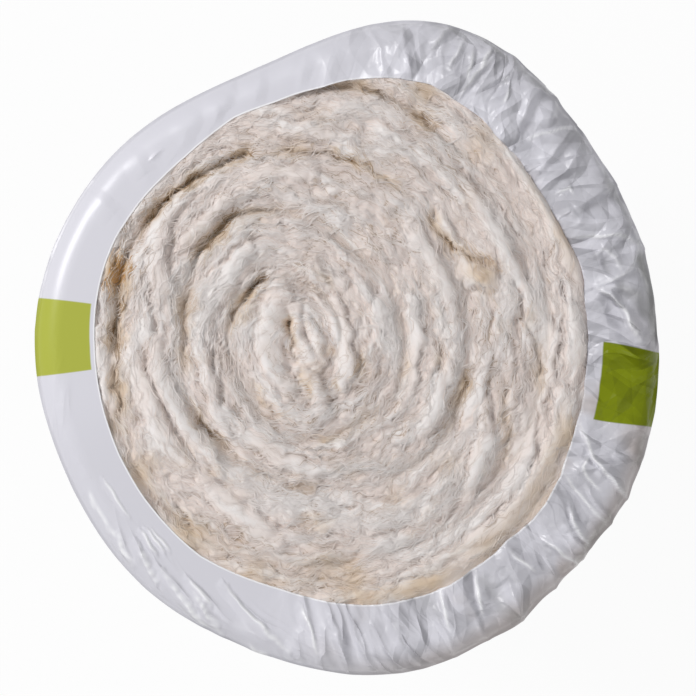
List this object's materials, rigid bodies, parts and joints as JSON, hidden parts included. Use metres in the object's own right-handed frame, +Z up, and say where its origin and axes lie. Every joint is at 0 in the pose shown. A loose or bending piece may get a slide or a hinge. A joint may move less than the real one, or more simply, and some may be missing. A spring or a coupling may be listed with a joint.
{
  "type": "insulation roll",
  "caption": "Roll of mineral wool blanket wound on itself, held by a plastic film sleeve drawn in over both ends, standing on end with its spiral of turns in view.",
  "frame": {"origin": "middle of the base's bounding box, on the floor the roll stands on", "axes": "+Z up along the roll's axis; +X and +Y are right and up in the picture, which looks straight down on the upper end"},
  "size_m": [0.442, 0.4626, 1.2],
  "materials": {
    "wool": "matt, loose cream wool fibres with tan binder marks",
    "film": "thin glossy white packing film with plain green bars"
  },
  "bodies": {
    "root": {"wool_roll": "wool", "film_wrap": "film"}
  },
  "joints": []
}
